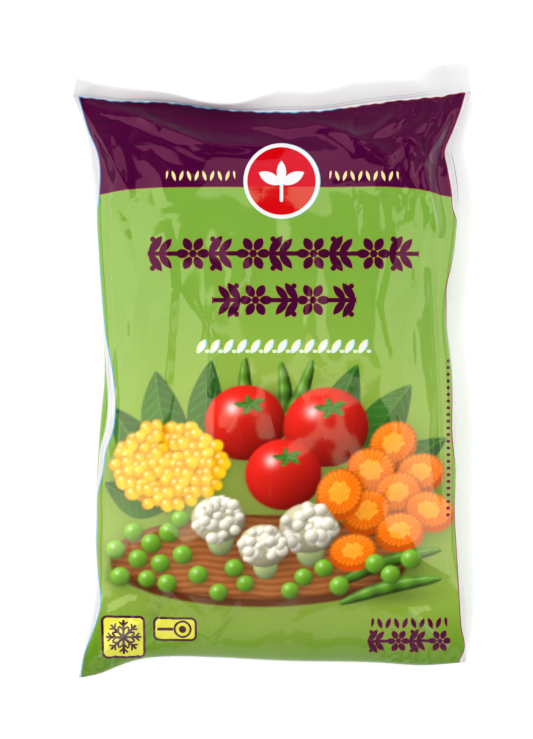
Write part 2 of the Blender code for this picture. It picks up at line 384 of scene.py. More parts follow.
def film_relief(across, along):
    """How far the film stands over the form: its creases, and the lumps of what is inside."""
    x, y = plan_point(across, along)
    free = swell(across, FREE_BLUNTNESS) * ramp(along, *FREE_OF_FOOT) * ramp(along, *FREE_OF_TOP)
    lumps = sum(height * waves(x, y, wide, tall, seed) for wide, tall, height, seed in LUMPS)
    lumps *= 1 - FLATTENING * ramp(along, *FLATTER_TOP)
    return free * (lumps + sum(tent(x, y, *crease) for crease in CREASES))


def slack(across, along, unevenness):
    """The shares of film to spare in the bag's width and in its length."""
    sides, headspace, foot = ramp(np.abs(across), *SIDES), ramp(along, *HEADSPACE), ramp(along, *FOOT)
    shares = zip(SIDE_SLACK, HEADSPACE_SLACK, FOOT_SLACK)
    return [unevenness * (s * sides + h * headspace + f * foot) for s, h, f in shares]


def rest_lengths(form, in_width, in_length):
    """The film's lengths between a grid's points: across, along and over both diagonals of its cells."""
    across, along = np.diff(form, axis=1), np.diff(form, axis=0)
    rising, falling = form[1:, 1:] - form[:-1, :-1], form[1:, :-1] - form[:-1, 1:]
    spare = 1 + (in_width + in_length) / 2
    spare = (spare[1:, 1:] + spare[:-1, :-1]) / 2
    return (
        np.linalg.norm(across, axis=2) * (1 + (in_width[:, 1:] + in_width[:, :-1]) / 2),
        np.linalg.norm(along, axis=2) * (1 + (in_length[1:] + in_length[:-1]) / 2),
        np.linalg.norm(rising, axis=2) * spare,
        np.linalg.norm(falling, axis=2) * spare,
    )


def hold(across, along):
    """How firmly each point is held to the form: fully at the seals, and by what fills the bag."""
    filled = ramp(along, *FILLED_ALONG) * ramp(np.abs(across), *FILLED_ACROSS)
    held = SLACK_HOLD + (FILLED_HOLD - SLACK_HOLD) * filled
    held = np.maximum(held, CREASE_HOLD * ramp(along, *CREASED))
    held = np.where(np.abs(across) > 1 - TINY, SIDE_HOLD, held)
    return np.where((along < TINY) | (along > 1 - TINY), 1.0, held)


def pull(a, b, rest, firmness):
    """Moves two arrays of points, in place, towards being a rest length apart."""
    gap = b - a
    length = np.linalg.norm(gap, axis=-1, keepdims=True)
    step = 0.5 * firmness * (1 - rest[..., None] / np.maximum(length, 1e-9)) * gap
    a += step
    b -= step


def relax_once(p, across_rest, along_rest, rising, falling):
    """One pass over a panel's springs: along its threads, over its cells' diagonals, and against bending."""
    for k in (0, 1):
        pull(p[:, k:-1:2], p[:, k + 1::2], across_rest[:, k::2], 1.0)
        pull(p[k:-1:2], p[k + 1::2], along_rest[k::2], 1.0)
    for k in (0, 1):
        pull(p[k:-1:2, :-1], p[k + 1::2, 1:], rising[k::2], DIAGONAL_STIFFNESS)
        pull(p[k:-1:2, 1:], p[k + 1::2, :-1], falling[k::2], DIAGONAL_STIFFNESS)
    wide = across_rest[:, :-1] + across_rest[:, 1:]
    tall = along_rest[:-1] + along_rest[1:]
    for k in (0, 1, 2, 3):
        pull(p[:, k:-2:4], p[:, k + 2::4], wide[:, k::4], BEND_STIFFNESS)
        pull(p[k:-2:4], p[k + 2::4], tall[k::4], BEND_STIFFNESS)


def borders_of(panel):
    return panel[0], panel[-1], panel[:, 0], panel[:, -1]


def smoothed(values):
    """A grid of values, evened out with its surroundings."""
    for _ in range(RUNNING_MEANS):
        wide = np.pad(values, 1, "edge")
        values = (wide[:-2, 1:-1] + wide[2:, 1:-1] + wide[1:-1, :-2] + wide[1:-1, 2:] + 2 * values) / 6
    return values


def relaxed(point_ofs):
    """The panels' places on the form, and how far the buckled film's points are from it."""
    dice = np.random.default_rng(SEED)
    places = [evened(point_of) for point_of in point_ofs]
    moved = [np.zeros(place[0].shape + (3,)) for place in places]
    for place, move in zip(places, moved):
        move[..., 2] = FIRST_RIPPLE * smoothed(dice.normal(size=place[0].shape))
    unevenness = np.clip(1 + UNEVENNESS * dice.normal(size=UNEVEN_PLACES), *UNEVEN_RANGE)
    for columns, rows, passes in RELAX_LEVELS:
        at = np.linspace(0, 1, rows + 1), np.linspace(0, 1, columns + 1)
        places = [[np.clip(refined(q, *at), low, 1) for q, low in zip(place, (-1, 0))] for place in places]
        form = [point_of(*place) for point_of, place in zip(point_ofs, places)]
        form[0][..., 2] += film_relief(*places[0])
        for front_edge, back_edge in zip(borders_of(form[0]), borders_of(form[1])):
            back_edge[:] = front_edge
        film = [f + refined(move, *at) for f, move in zip(form, moved)]
        uneven = refined(unevenness, *at)
        rests = [rest_lengths(f, *slack(*place, uneven)) for f, place in zip(form, places)]
        holds = [hold(*place)[..., None] for place in places]
        for _ in range(passes):
            for panel, rest, held, target in zip(film, rests, holds, form):
                relax_once(panel, *rest)
                panel += held * (target - panel)
                panel[..., 2] = np.maximum(panel[..., 2], 0)
            for front_edge, back_edge in zip(borders_of(film[0]), borders_of(film[1])):
                front_edge += 0.5 * (back_edge - front_edge)
                back_edge[:] = front_edge
        moved = [panel - target for panel, target in zip(film, form)]
    return places, moved


def stretches(*parts):
    """Places from 0 to 1 along a line made of (length, spacing) parts."""
    ends, places = 0.0, [np.zeros(1)]
    for length, spacing in parts:
        count = round(length / spacing)
        places.append(ends + length * np.arange(1, count + 1) / count)
        ends += length
    return np.concatenate(places) / ends


def top_seal(across, side):
    """Rows of the top seal, which stands up in waves, from its line to its free edge."""
    out = np.linspace(0, 1, SEAL_ROWS + 1)[1:, None]
    at_top = np.ones_like(across)
    x, y = plan_point(across, at_top)
    reach = curve_through(TOP_SEAL_REACH, across * FLAT_HALF_WIDTH)
    rise = np.sqrt(TOP_SEAL_WIDTH**2 - reach**2)
    half = side * FILM_GAP * (out < 1)
    return np.stack([
        x - out * TOP_SEAL_NARROWING * across,
        y + out * reach - half * rise / TOP_SEAL_WIDTH,
        edge_height(across, at_top) + out * rise + half * reach / TOP_SEAL_WIDTH,
    ], -1)


def bottom_seal(across, side):
    """Rows of the bottom seal, folded flat under the bag, from its free edge to the fold."""
    out = np.linspace(1, 0, SEAL_ROWS + 1)[:-1, None]
    x, y = plan_point(across, np.zeros_like(across))
    half = side * FILM_GAP * (out < 1) + 0 * across
    y = y + SEAL_INSET + out * (BOTTOM_SEAL_WIDTH - SEAL_INSET)
    return np.stack([x * (1 - SEAL_TAPER * out), y, SEAL_HEIGHT - half], -1)


class Panel:
    """One panel of the film: its points, and where each lies on the bag's plan."""

    def __init__(self, name, side, place, point_of, moved, rows, columns):
        self.name, self.side = name, side
        self.across, self.along = (
            np.clip(refined(p, rows, columns), low, 1) for p, low in zip(place, (-1, 0))
        )
        body = point_of(self.across, self.along) + refined(moved, rows, columns)
        body[..., 2] += film_relief(self.across, self.along) if side > 0 else 0
        body[..., 2] = np.maximum(body[..., 2], 0.0)
        foot, head = bottom_seal(self.across[0], side), top_seal(self.across[-1], side)
        self.points = np.concatenate([foot, body, head])
        self.plan = plan_point(self.across, self.along)
        self.sealed = (len(foot), len(head))
        self.film_place = np.meshgrid(columns, np.linspace(0, 1, len(self.points)))

    def with_seals(self, values, at_seals):
        """Values of the body's points, with one value for the seals above and below it."""
        foot, head = ((count, values.shape[1]) + values.shape[2:] for count in self.sealed)
        return np.concatenate([np.full(foot, at_seals, float), values, np.full(head, at_seals, float)])

    def build(self, material):
        index = np.arange(self.points.shape[0] * self.points.shape[1]).reshape(self.points.shape[:2])
        faces = grid_faces(index)
        if self.side < 0:
            faces = faces[:, ::-1]
        data = make_mesh(self.name, self.points.reshape(-1, 3) * MM, faces)
        data.materials.append(material)
        shares = np.stack(self.film_place, -1).reshape(-1, 2)[faces.ravel()]
        shares[:, 0] *= 2 * FILM_HALF_WIDTH / (FILM_LENGTH + TOP_SEAL_WIDTH + BOTTOM_SEAL_WIDTH)
        data.uv_layers.new(name="OFBake").data.foreach_set("uv", shares.astype(np.float32).ravel())
        self.piece = add_piece(self.name, data)

    def sharpness(self):
        """How sharply the film turns at each point: over 0 on ridges, under 0 in valleys."""
        foot, head = self.sealed
        height = self.points[foot:-head, :, 2]
        turn = np.clip((height - smoothed(height)) / SHARP_TURN, -1, 1)
        turn[:, :6] = turn[:, -6:] = turn[:3] = turn[-3:] = 0
        return self.with_seals(turn, 0.0)

    def seen(self):
        """Where the body's points are seen from above, in x and y."""
        foot, head = self.sealed
        return self.points[foot:-head, :, 0], self.points[foot:-head, :, 1]

    def seal_share(self):
        """How far out on a seal each point is, from 0 at the body to 1 at the free edge."""
        share = np.zeros(self.points.shape[:2])
        foot, head = self.sealed
        share[:foot] = np.linspace(1, 1 / foot, foot)[:, None]
        share[-head:] = np.linspace(1 / head, 1, head)[:, None]
        return share

    def seal_painted_light(self):
        """The seal's painted light by the place across: 0 where it stands steep and is painted lighter for
        the light that it misses, 1 where it lies back in full light.
        """
        x = self.across[-1] * FLAT_HALF_WIDTH
        reach = curve_through(TOP_SEAL_REACH, x) / TOP_SEAL_WIDTH
        tone = np.clip(TONE_SLOPE * reach + TONE_START + CORNER_TONE * ramp(x, *CORNER), 0, 1) ** TONE_POWER
        return np.broadcast_to(tone, self.points.shape[:2])

    def mark(self, name, values):
        """A number for each point, which the material reads."""
        layer = self.piece.data.attributes.new(name, "FLOAT", "POINT")
        layer.data.foreach_set("value", values.astype(np.float32).ravel())

    def paint(self, name, colours):
        layer = self.piece.data.attributes.new(name, "FLOAT_COLOR", "POINT")
        opaque = np.concatenate([colours, np.ones(colours.shape[:2] + (1,))], -1)
        layer.data.foreach_set("color", opaque.astype(np.float32).ravel())


def make_panels():
    """The front and the back panel, with their seals."""
    point_ofs = (front_point, back_point)
    places, moved = relaxed(point_ofs)
    low, high = PICTURE_ROWS
    rows = stretches((low, SPREAD_POINTS), (high - low, CLOSE_POINTS), (FILM_LENGTH - high, SPREAD_POINTS))
    side = (FILM_HALF_WIDTH - PICTURE_REACH, SIDE_POINTS)
    columns = stretches(side, (2 * PICTURE_REACH, CLOSE_POINTS), side)
    front = Panel("film_front", 1, places[0], front_point, moved[0], rows, columns)
    back = Panel("film_back", -1, places[1], back_point, moved[1], rows, np.linspace(0, 1, BACK_COLUMNS + 1))
    return front, back


# The print: where its fields lie on the bag's plan, as (y, x) down the sides and (x, y) across
LEFT_PRINT_EDGE = [
    (-137, -86.0), (-129, -84.8), (-120, -81.6), (-110, -77.9), (-104, -76.8), (-92, -77.9), (-78, -78.9),
    (-67, -78.4), (-54, -77.9), (-46, -75.7), (-36, -74.3), (-27, -71.1), (-16, -69.9), (2, -71.6),
    (18, -74.7), (32, -76.1), (51, -77.4), (71, -78.3), (80, -77.4), (98, -78.3), (108, -82.4), (123, -86.9),
]
RIGHT_PRINT_EDGE = [
    (-131, 84.3), (-126, 86.4), (-115, 84.9), (-99, 83.7), (-83, 82.8), (-62, 81.7), (-46, 82.2),
    (-30, 80.6), (-3, 80.6), (7, 80.1), (19, 78.3), (28, 78.0), (38, 78.0), (48, 80.4), (55, 81.9),
    (67, 82.8), (73, 80.8), (79, 80.4), (92, 78.3), (98, 77.3), (108, 81.0), (117, 84.4), (126, 87.1),
]
BAND_LINE = [
    (-79, 79.0), (-66, 81.4), (-50, 82.3), (-30, 82.5), (0, 82.4), (30, 82.5), (56, 82.6), (64, 82.0),
    (76, 79.2), (84, 77.4),
]
BAND_CREASES = [
    [(-80, 112.0), (-62, 113.4), (-40, 115.2), (-10, 113.5), (20, 113.8), (50, 113.0), (80, 108.5)],
    [(-79, 107.6), (-56, 108.6), (-38, 108.0)],
    [(-72, 101.2), (-46, 101.6), (-24, 99.4)],
]
STRIPE_WIDTH = 4.6  # of the unprinted strips between the front's print and the back's
FRINGE_SEEN, FRINGE_ON_FILM = 0.45, 0.8  # of a colour past the print, as seen from above and on the film
BAND_FRINGE, MARK_FRINGE, SUBTITLE_FRINGE, BADGE_FRINGE = 0.35, 0.22, 0.45, (0.3, 0.1)
CRIMSON_FROM = 30.0  # the x past which the fringe of the print is crimson, and cyan before it
BAND_CREASE_HALF_WIDTH, BAND_CREASE_SHARE = 0.35, 0.5
PRINT_TOP, PRINT_TOP_WAVES = -0.5, 0.3  # from the seal's line
# Rows of print: centre and length, then a garland's height, motifs and way, or a row's count and leaf width
TITLE_ROWS = (((5.0, 52.4), 121.0, 15.5, 9, 1), ((5.4, 31.6), 64.0, 15.0, 5, -1))
SUBTITLE = ((5.0, 11.0), 78.0, 13)
TAG_ROWS = (((-32.0, 87.4), 31.0, 9, 1.45), ((41.2, 87.4), 31.0, 9, 1.45))
BADGE_CENTRE, BADGE_RADIUS, BADGE_RIM, SPROUT_SIZE = (4.2, 85.0), 17.0, 1.7, 14.0
ICON_RIM, ICON_ROUNDING, SNOWFLAKE_REACH = 1.1, 2.8, 7.4
FREEZER_ICON = ((-66.8, -119.7), (9.8, 9.9))
PAN_ICON = ((-43.6, -116.0), (9.9, 5.6))
WEIGHT_MARK, WEIGHT_ROW = ((61.5, -121.5), 37.0, 10.5, 4, 1), ((61.6, -113.2), 34.0, 9, 1.8)
SIDE_DOTS = (78.6, -66.0, 3.0, 24)  # x, lowest y, pitch and count
OUTSIDE = -1.0  # what the seals' points carry as their distance into the print

# Print colours, as they look
INK_SHARE = 0.79  # of the light that a colour would need in plain daylight
GREEN, LOWER_GREEN, FOOT_GREEN = (0.44, 0.615, 0.21), (0.54, 0.665, 0.21), (0.33, 0.51, 0.04)
LOWER_GREEN_SPAN, FOOT_GREEN_SPAN = (20, -140), (-104, -130)
GLOW, GLOW_SHARE, GLOW_CENTRE, GLOW_REACH = (0.67, 0.71, 0.32), 0.75, (2, -46), (62, 58)
DARK_PURPLE, TITLE_PURPLE = (0.26, 0.01, 0.19), (0.24, 0.03, 0.17)
# painted light: the top seal's white, lighter where the seal stands steep than where it lies back
SEAL_STEEP_PAINTED_LIGHT, SEAL_FLAT_PAINTED_LIGHT = (1.09, 1.09, 1.09), (0.885, 0.885, 0.89)
STRIP_WHITE, STRIP_GREY = (0.71, 0.71, 0.715), (0.66, 0.665, 0.68)
SEAL_INK = 0.8  # what the seals' points carry as their print, which doesn't show there
VALLEY_SHADE, BAND_CREASE_SHADE = (0.16, 0.0, 0.12), (0.09, 0.02, 0.08)
GROOVE_SHADE, STRIP_FOLD_SHADE = (0.86, 0.86, 0.89), (0.74, 0.74, 0.76)
WHITE, CREAM = (0.86, 0.87, 0.87), (0.88, 0.83, 0.58)
BADGE_RED, ICON_YELLOW = (0.76, 0.01, 0.05), (0.87, 0.85, 0.26)
CYAN, CRIMSON = (0.25, 0.62, 0.82), (0.50, 0.03, 0.14)
GREEN_GLOSS, PURPLE_GLOSS = (1.0, 0.97, 0.80), (0.80, 0.44, 0.56)  # the tint of reflections
CYAN_TINT, YELLOW_TINT = (0.55, 0.82, 0.86), (0.88, 0.88, 0.35)
LAP_LIGHT, LAP_SHARE, LAP_EDGE, LAP_HALF_WIDTH = (0.85, 0.88, 0.80), 0.10, (0.20, 0.30, 0.10), 6.0

# The film's surface
GLOSS_FROM, GLOSS_TO, FILM_IOR = 0.05, 0.12, 1.5  # roughness of clean and of smudged film
VALLEY_SHADE_FROM, VALLEY_SHADE_SHARE, RIDGE_HIGHLIGHT_FROM, RIDGE_HIGHLIGHT_SHARE = 0.35, 0.7, 0.55, 0.3  # how sharp turns show, as painted shade in valleys and a painted highlight on ridges
GROOVES_AT, GROOVES_APART, GROOVE_HALF_WIDTH = 0.20, 0.05, 0.015  # of the seal's grooves, painted in as shade, as shares of the seal's width
# the painted shade along the fold of the unprinted strips: where it lies, as a share of the strip's width,
# and its half width
STRIP_FOLD_AT, STRIP_FOLD_HALF_WIDTH = 0.45, 0.2
STRIP_NOISE, SMUDGES, DENTS, GRAIN, GRAIN_SHARE = (45, 2), (28, 3), (110, 3), (900, 2), 0.12
BUMP_STRENGTH, BUMP_DEPTH = 0.5, 0.12
FACET_SCALE, FACET_SLOPE = (62.0, 30.0, 30.0), 20.0

# The food's colours
LEAF_DARK, LEAF_LIGHT = (0.08, 0.27, 0.09), (0.27, 0.50, 0.17)
BEAN_GREEN, PEA_GREEN, TOMATO_RED = (0.40, 0.66, 0.16), (0.44, 0.70, 0.14), (0.86, 0.07, 0.03)
KERNEL_RIPE, KERNEL_TIP, KERNEL_SHADE = (0.99, 0.80, 0.13), (0.86, 0.55, 0.05), (0.86, 0.58, 0.08)
CARROT_RING, CARROT_HEART, CARROT_RIM = (0.94, 0.44, 0.05), (0.98, 0.62, 0.16), (0.80, 0.30, 0.03)
FLORET_WHITE, FLORET_SHADE, STALK_GREEN = (0.97, 0.94, 0.84), (0.80, 0.76, 0.60), (0.72, 0.80, 0.50)
WOOD_LIGHT, WOOD_DARK, WOOD_EDGE = (0.70, 0.42, 0.22), (0.45, 0.22, 0.09), (0.36, 0.17, 0.07)


def linear(colour):
    """A colour as it looks in the studio's light, turned into the share of light that it sends back."""
    colour = np.asarray(colour, float)
    return INK_SHARE * np.where(colour <= 0.04045, colour / 12.92, ((colour + 0.055) / 1.055) ** 2.4)


def carried_fields(x, y, seen_x, seen_y):
    """The distances to the print's long edges, which the mesh carries to its material."""
    left, right = curve_through(LEFT_PRINT_EDGE, seen_y), curve_through(RIGHT_PRINT_EDGE, seen_y)
    top = curve_through(TOP_LINE, x) + PRINT_TOP + PRINT_TOP_WAVES * np.sin(0.8 * x) * np.sin(0.33 * x + 1)
    creases = [
        np.minimum(BAND_CREASE_HALF_WIDTH - np.abs(y - curve_through(line, x)),
                   np.minimum(x - line[0][0], line[-1][0] - x))
        for line in BAND_CREASES
    ]
    return {
        "plan_x": x,
        "plan_y": y,
        "print_area": np.minimum(np.minimum(seen_x - left, right - seen_x), top - y),
        "band": y - curve_through(BAND_LINE, x),
        "band_creases": np.maximum.reduce(creases),
    }


def mixed(low, high, share):
    """Colours between two, by a share for each place."""
    return np.array(low) + share[:, None] * (np.array(high) - low)


def gleam(dx, dy, size, right, up, spot):
    """How brightly a round thing shines at places off its middle."""
    return np.exp(-((dx / size - right) ** 2 + (dy / size - up) ** 2) / spot)[:, None]


def beside(place, right, up):
    return place[0] + right, place[1] + up


class Picture:
    """The picture of vegetables, painted in soft-edged shapes on the points of the panel."""

    SOFTNESS = 0.65  # of a shape's edge
    SEED = 11
    FLORETS = 34

    def __init__(self, x, y, ground):
        self.x, self.y, self.colour = x, y, ground
        self.dice = np.random.default_rng(self.SEED)

    def near(self, centre, reach):
        found = np.nonzero((np.abs(self.x - centre[0]) < reach) & (np.abs(self.y - centre[1]) < reach))
        return found, self.x[found] - centre[0], self.y[found] - centre[1]

    def lay(self, found, colour, cover):
        cover = np.clip(cover, 0, 1)[:, None]
        self.colour[found] += cover * (colour - self.colour[found])

    def shadow(self, centre, reach_x, reach_y, strength):
        found, dx, dy = self.near(centre, 1.8 * max(reach_x, reach_y))
        far = (dx / reach_x) ** 2 + (dy / reach_y) ** 2
        self.lay(found, 0.35 * self.colour[found], strength * np.exp(-far * 1.3))

    def oval(self, centre, rx, ry, turn, colour_of):
        """An ellipse, whose colours are worked out from places in it that run from -1 to 1."""
        found, dx, dy = self.near(centre, max(rx, ry) + 1)
        p = (dx * math.cos(turn) + dy * math.sin(turn)) / rx
        q = (dy * math.cos(turn) - dx * math.sin(turn)) / ry
        far = np.hypot(p, q)
        self.lay(found, colour_of(p, q, far, dx, dy), (1 - far) * min(rx, ry) / self.SOFTNESS + 0.5)

    def plain(self, centre, rx, ry, turn, colour):
        self.oval(centre, rx, ry, turn, lambda p, *_: colour + 0 * p[:, None])

    def ball(self, centre, rx, ry, turn, colour, shine, spot=0.05):
        """A round thing lit from the upper left."""
        colour, size = np.array(colour), max(rx, ry)

        def colour_of(p, q, far, dx, dy):
            lit = np.clip(0.52 + 0.6 * (0.6 * dy - 0.45 * dx) / size, 0, 1)[:, None]
            shade = colour * 0.48 + lit * (colour * 0.62 + 0.10)
            shade *= 1 - 0.25 * np.clip(far - 0.75, 0, 1)[:, None] * 2
            return shade + shine * gleam(dx, dy, size, -0.32, 0.36, spot) * (1 - shade)

        self.oval(centre, rx, ry, turn, colour_of)

    def blade(self, start, end, width, bend, colour_of, fullness=0.8, bluntness=0.8):
        """A leaf or pod between two points, bent sideways, widest before its middle."""
        run = np.array(end, float) - start
        length = math.hypot(*run)
        middle = np.array(start) + run / 2
        found, dx, dy = self.near(middle, length / 2 + width + abs(bend))
        u = (dx * run[0] + dy * run[1]) / length**2 + 0.5
        v = (dy * run[0] - dx * run[1]) / length - bend * np.sin(math.pi * np.clip(u, 0, 1))
        half = width / 2 * np.abs(np.sin(math.pi * np.clip(u, 0, 1) ** fullness)) ** bluntness
        cover = np.where((u > 0) & (u < 1), (half - np.abs(v)) / self.SOFTNESS + 0.5, 0)
        self.lay(found, colour_of(u, v, np.clip(v / np.maximum(half, 1e-3), -1, 1)), cover)

    def leaf(self, start, end, width, bend, tint):
        def colour_of(u, v, share):
            side = np.where(share > 0, 0.42, 0.12) + 0.25 * np.sin(math.pi * u) + tint
            vein = np.abs((u * 9 + np.abs(share) * 1.3) % 1 - 0.5) < 0.10
            side = side + 0.30 * vein * (np.abs(share) < 0.85) + 0.55 * (np.abs(v) < 0.42)
            return mixed(LEAF_DARK, LEAF_LIGHT, np.clip(side, 0, 1))

        self.blade(start, end, width, bend, colour_of)

    def bean(self, start, end, width, bend):
        def colour_of(u, v, share):
            swollen = 0.10 * np.sin(u * 31) * np.sin(math.pi * u)
            lit = np.clip(0.80 + 0.35 * share - 0.40 * share**2 + swollen, 0.3, 1.2)[:, None] * BEAN_GREEN
            shine = (np.exp(-((share - 0.45) ** 2) / 0.03) * (0.7 + 3 * swollen))[:, None]
            return lit + 0.35 * shine * (1 - lit)

        middle = ((start[0] + end[0]) / 2, (start[1] + end[1]) / 2 - 1.8)
        self.shadow(middle, 0.42 * math.dist(start, end), 5, 0.35)
        self.blade(start, end, width, bend, colour_of, fullness=1.0, bluntness=0.45)

    def tomato(self, centre, radius):
        self.shadow(beside(centre, 1, -3), radius * 1.15, radius, 0.6)
        self.ball(centre, radius, radius * 0.93, 0.1, TOMATO_RED, 0.75, 0.035)
        crown = beside(centre, 0.12 * radius, 0.45 * radius)
        for k in range(5):
            way = 0.5 + k * 2 * math.pi / 5
            tip = beside(crown, 0.42 * radius * math.cos(way), 0.26 * radius * math.sin(way))
            self.leaf(crown, tip, 0.16 * radius, 0.4, 0.2)

    def kernel(self, centre, size, turn):
        def colour_of(p, q, far, dx, dy):
            shade = mixed(KERNEL_RIPE, KERNEL_TIP, np.clip(0.55 * far + 0.4 * q, 0, 1))
            return shade + 0.7 * gleam(dx, dy, size, -0.3, 0.35, 0.05) * (1 - shade)

        self.shadow(beside(centre, 0, -0.6), size, size, 0.35)
        self.oval(centre, size * 0.86, size, turn, colour_of)

    def carrot_coin(self, centre, radius, flatness, turn):
        def colour_of(p, q, far, dx, dy):
            way = np.arctan2(q, p)
            core = far < 0.46 + 0.04 * np.sin(7 * way)
            rays = 0.05 * np.cos(26 * way) * (far > 0.3)
            shade = np.where(core[:, None], CARROT_HEART, CARROT_RING) + rays[:, None]
            return shade * (1 - 0.22 * (far > 0.9))[:, None] + 0.10 * np.clip(q, 0, 1)[:, None]

        self.shadow(beside(centre, 1, -2), radius * 1.1, radius, 0.5)
        self.plain(beside(centre, 0, -2), radius, radius * flatness, turn, CARROT_RIM)
        self.oval(centre, radius, radius * flatness, turn, colour_of)

    def cauliflower(self, centre, radius):
        self.shadow(beside(centre, 1, -3), radius * 1.2, radius, 0.55)
        self.ball(beside(centre, 1, -0.75 * radius), 0.45 * radius, 0.5 * radius, 0, STALK_GREEN, 0.1)
        self.ball(centre, radius * 0.92, radius * 0.8, 0, FLORET_SHADE, 0.0)
        for _ in range(self.FLORETS):
            way, far = self.dice.uniform(0, 2 * math.pi), radius * 0.82 * math.sqrt(self.dice.uniform(0, 1))
            bump = beside(centre, far * math.cos(way), 0.86 * far * math.sin(way))
            size = self.dice.uniform(0.15, 0.24) * radius
            self.ball(bump, size, size * 0.9, 0, FLORET_WHITE, 0.5, 0.2)

    def pea(self, centre, radius):
        self.shadow(beside(centre, 0.4, -1.2), radius * 1.2, radius, 0.5)
        self.ball(centre, radius, radius * 0.96, 0, PEA_GREEN, 0.6, 0.04)

    def board(self, centre, reach_x, reach_y):
        def colour_of(p, q, far, dx, dy):
            grain = 0.5 + 0.5 * np.sin(dy * 2.1 + 1.4 * np.sin(dx * 0.09 + 1) + 0.8 * np.sin(dx * 0.31))
            share = np.clip(0.45 * grain + 0.9 * np.clip(far - 0.86, 0, 1) * 5, 0, 1)
            return mixed(WOOD_LIGHT, WOOD_DARK, share)

        self.shadow(beside(centre, 2, -5), reach_x * 1.05, reach_y * 1.1, 0.5)
        self.plain(beside(centre, 0, -3.5), reach_x, reach_y, 0, WOOD_EDGE)
        self.oval(centre, reach_x, reach_y, 0, colour_of)


def paint_vegetables(picture):
    """A heap of chopped vegetables on a round wooden board."""
    dice = picture.dice
    picture.board((-6, -83), 66, 19)
    for start, end, width, tint in (
        ((-40, -50), (-72, -16), 20, 0.0), ((-40, -40), (-52, 0), 20, 0.1), ((-26, -40), (-27, 5), 17, 0.0),
        ((28, -40), (38, 3), 18, 0.05), ((42, -44), (62, -6), 20, 0.1), ((46, -58), (78, -30), 17, 0.0),
        ((-46, -60), (-75, -50), 15, 0.05), ((50, -66), (79, -62), 14, 0.1),
    ):
        picture.leaf(start, end, width, 3.0, tint)
    for start, end, bend in (
        ((-6, -28), (-12, 6), 2.5), ((4, -30), (4, 4), -2.0), ((0, -30), (18, 5), -2.5),
        ((26, -97), (76, -80), 3.0), ((30, -104), (76, -93), 2.0),
    ):
        picture.bean(start, end, 6.4, bend)
    picture.tomato((-12, -23), 18)
    picture.tomato((24, -25), 19)
    heap = (-46.0, -42.0)
    picture.shadow(beside(heap, 0, -8), 27, 16, 0.6)
    picture.plain(heap, 25, 18, 0.1, KERNEL_SHADE)
    for layer in range(9):
        up = 16.5 - 4.1 * layer
        half = 25.5 * math.sqrt(max(0.0, 1 - (up / 18.5) ** 2))
        count = max(3, round(half * 2 / 4.4))
        for k in range(count):
            aside = -half + 2 * half * (k + 0.5) / count
            place = beside(heap, aside + dice.uniform(-1.1, 1.1), up + dice.uniform(-1.4, 1.4))
            picture.kernel(place, dice.uniform(2.9, 3.7), dice.uniform(0, math.pi))
    picture.tomato((5, -46), 17)
    for centre, flat, turn in (
        ((54, -32), 0.84, 0.5), ((66, -45), 0.74, 0.2), ((44, -44), 0.88, -0.2), ((56, -54), 0.8, 0.3),
        ((70, -62), 0.72, -0.3), ((42, -62), 0.82, 0.4), ((30, -54), 0.9, 0.9), ((57, -71), 0.7, 0.1),
    ):
        picture.carrot_coin(centre, 11, flat, turn)
    picture.cauliflower((-24, -66), 13)
    picture.cauliflower((16, -70), 14)
    picture.cauliflower((-4, -78), 12)
    picture.carrot_coin((36, -80), 10.5, 0.7, 0.1)
    for place in (
        (-62, -72), (-54, -77), (-46, -72), (-50, -86), (-40, -82), (-60, -84), (-41, -66), (-33, -91),
        (14, -92), (23, -88), (8, -98), (-12, -95), (46, -86), (53, -91), (-68, -92), (-24, -99), (-17, -88),
        (-56, -93), (-47, -95), (30, -96), (-70, -80), (62, -84),
    ):
        picture.pea(place, dice.uniform(3.9, 4.6))


def printed_colours(x, y):
    """The soft fields of the front: green, paler round the picture, and the picture."""
    away = ((x - GLOW_CENTRE[0]) / GLOW_REACH[0]) ** 2 + ((y - GLOW_CENTRE[1]) / GLOW_REACH[1]) ** 2
    ground = np.array(GREEN) + 0 * x[..., None]
    lower, foot = ramp(y, *LOWER_GREEN_SPAN), ramp(y, *FOOT_GREEN_SPAN)
    for colour, share in ((LOWER_GREEN, lower), (FOOT_GREEN, foot), (GLOW, GLOW_SHARE * np.exp(-away))):
        ground += share[..., None] * (colour - ground)
    picture = Picture(x, y, ground)
    paint_vegetables(picture)
    return linear(np.clip(picture.colour, 0, 1))


# Materials
class Nodes:
    """The nodes of a material or a world, made and joined in one call each."""

    def __init__(self, owner, shader="Principled BSDF"):
        owner.use_nodes = True
        self.owner, self.tree = owner, owner.node_tree
        self.shader = self.tree.nodes[shader]

    def add(self, kind, inputs=(), output=0, **settings):
        node = self.tree.nodes.new(kind)
        for setting, value in settings.items():
            setattr(node, setting, value)
        for socket, value in dict(inputs).items():
            self.feed(node.inputs[socket], value)
        return node.outputs[output]

    def set(self, **values):
        """Gives the shader's sockets values or what other nodes work out."""
        for name, value in values.items():
            self.feed(self.shader.inputs[name.replace("_", " ")], value)

    def feed(self, socket, value):
        value = value.socket if isinstance(value, Number) else value
        if isinstance(value, bpy.types.NodeSocket):
            self.tree.links.new(value, socket)
        else:
            socket.default_value = value

    def number(self, name):
        """A number that the mesh carries."""
        return Number(self, self.add("ShaderNodeAttribute", output="Fac", attribute_name=name))

    def inside(self, distance, edge=0.0, softness=0.05):
        """1 where a distance is over an edge, and 0 where it is under."""
        ends = {"Value": distance, "From Min": edge - softness, "From Max": edge + softness}
        return self.add("ShaderNodeMapRange", ends)

    def over(self, below, above, share):
        """One colour laid over another, by a share."""
        below, above = (
            colour if isinstance(colour, bpy.types.NodeSocket) else (*linear(colour), 1)
            for colour in (below, above)
        )
        inputs = {"Factor": share, 6: below, 7: above}
        return self.add("ShaderNodeMix", inputs, output=2, data_type="RGBA")

    def noise(self, scale, detail):
        place = self.add("ShaderNodeTexCoord", output="Object")
        inputs = {"Vector": place, "Scale": scale, "Detail": detail}
        return Number(self, self.add("ShaderNodeTexNoise", inputs))


